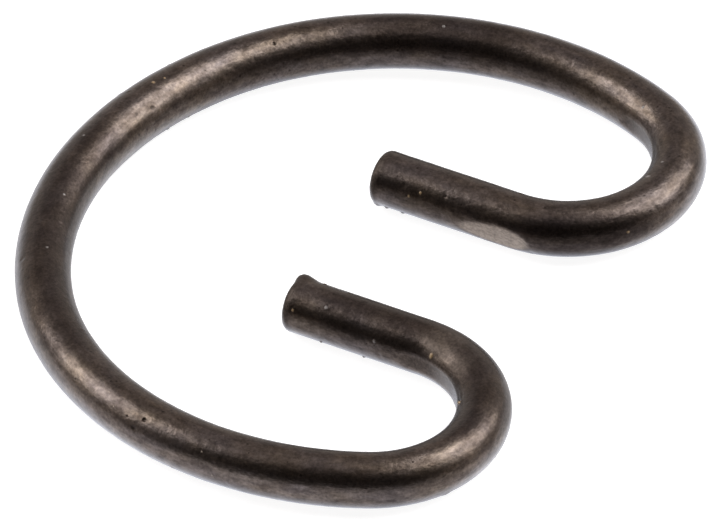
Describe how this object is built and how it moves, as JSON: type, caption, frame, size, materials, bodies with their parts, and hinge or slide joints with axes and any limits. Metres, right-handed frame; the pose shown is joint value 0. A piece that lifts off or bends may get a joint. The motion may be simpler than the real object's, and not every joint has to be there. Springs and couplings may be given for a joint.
{
  "type": "circlip",
  "caption": "Round-wire circlip: an open spring ring with two hooked ends whose straight tangs point back inwards.",
  "frame": {"origin": "middle of the ring, midway between the bend centres of its two flanks, on the wire's centre line", "axes": "+Z is the ring's axis, +X points from the ring's back out through the gap between the tangs, and Y runs across the ring from hook to hook"},
  "size_m": [0.0105, 0.0134, 0.001],
  "materials": {
    "spring_steel": "satin, oil-blackened spring steel, mottled brown-grey"
  },
  "bodies": {
    "root": {"circlip": "spring_steel"}
  },
  "joints": []
}
